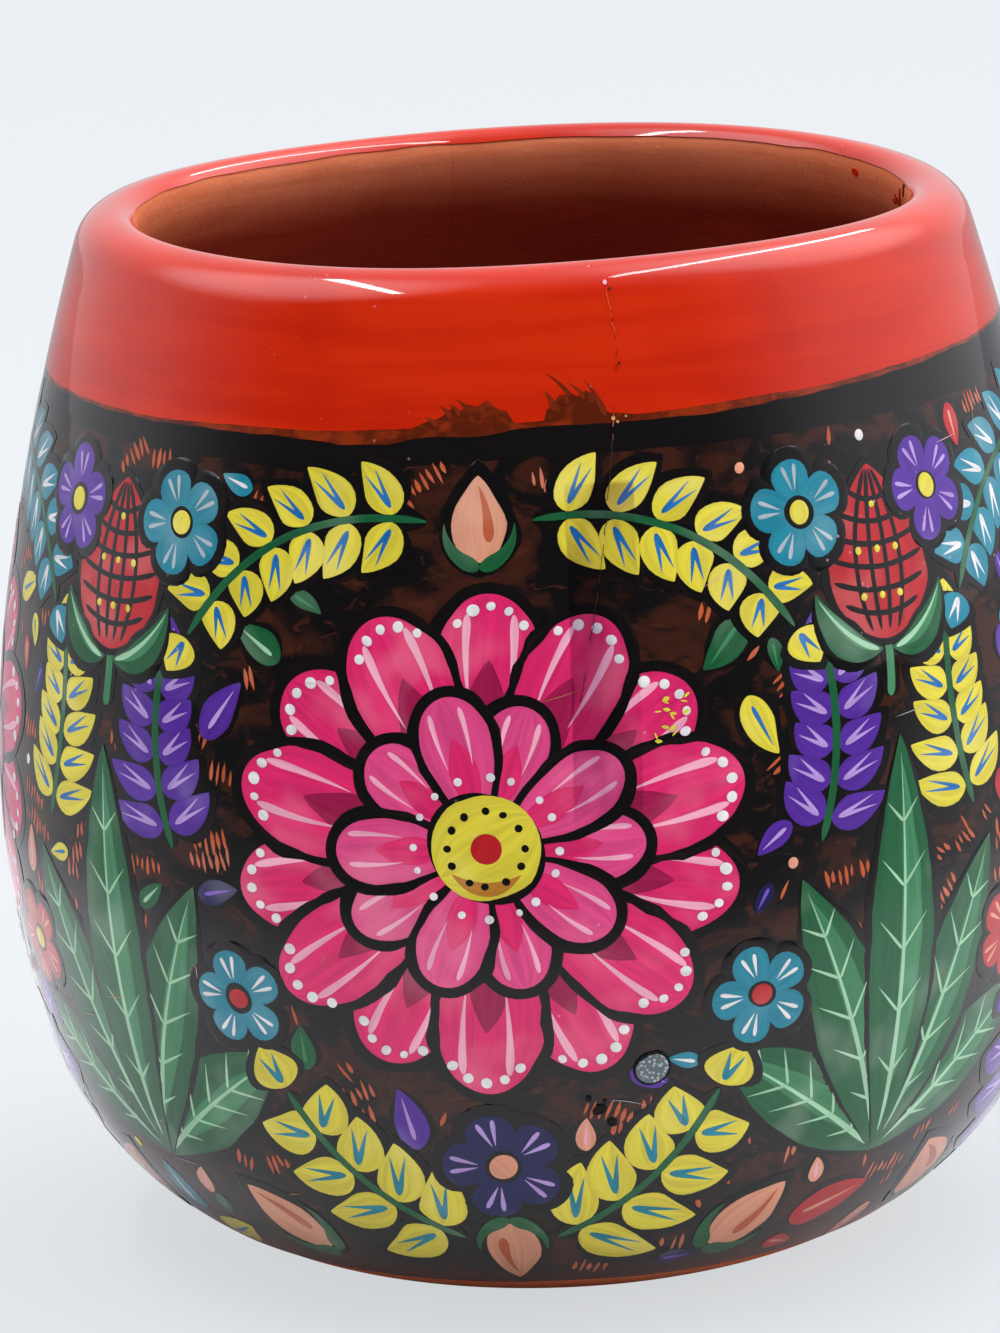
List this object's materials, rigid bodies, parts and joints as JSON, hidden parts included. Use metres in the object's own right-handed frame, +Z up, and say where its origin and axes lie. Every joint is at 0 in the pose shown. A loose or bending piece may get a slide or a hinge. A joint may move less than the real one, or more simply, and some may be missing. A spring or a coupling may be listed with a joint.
{
  "type": "painted olla",
  "caption": "Round-bellied earthenware olla with a thick rolled lip, red band, black shoulder line and painted blossoms, for storing food or water or for display.",
  "frame": {"origin": "on the table under the middle of the foot", "axes": "+Z up along the pot's axis; the two moulded halves meet in the plane X = 0, seam to the front at -Y"},
  "size_m": [0.2014, 0.2014, 0.1932],
  "materials": {
    "clay": "bare low-fired terracotta, matte",
    "slip": "fired luting slip, matte",
    "red_enamel": "brushed red-orange enamel under gloss varnish",
    "black_enamel": "black enamel line under gloss varnish",
    "brown_ground": "dark brown ground under gloss varnish",
    "pink_paint": "hot pink paint under gloss varnish",
    "yellow_paint": "yellow paint under gloss varnish",
    "green_paint": "green paint under gloss varnish"
  },
  "bodies": {
    "root": {"left_half_shell": "clay", "right_half_shell": "clay", "base_slab": "clay", "front_seam_slip": "slip", "rear_seam_slip": "slip", "base_seam_slip": "slip", "rim_paint": "red_enamel", "shoulder_line": "black_enamel", "ground_wash": "brown_ground", "blossom_petals": "pink_paint", "blossom_eyes": "yellow_paint", "leaf_sprays": "green_paint"}
  },
  "joints": []
}
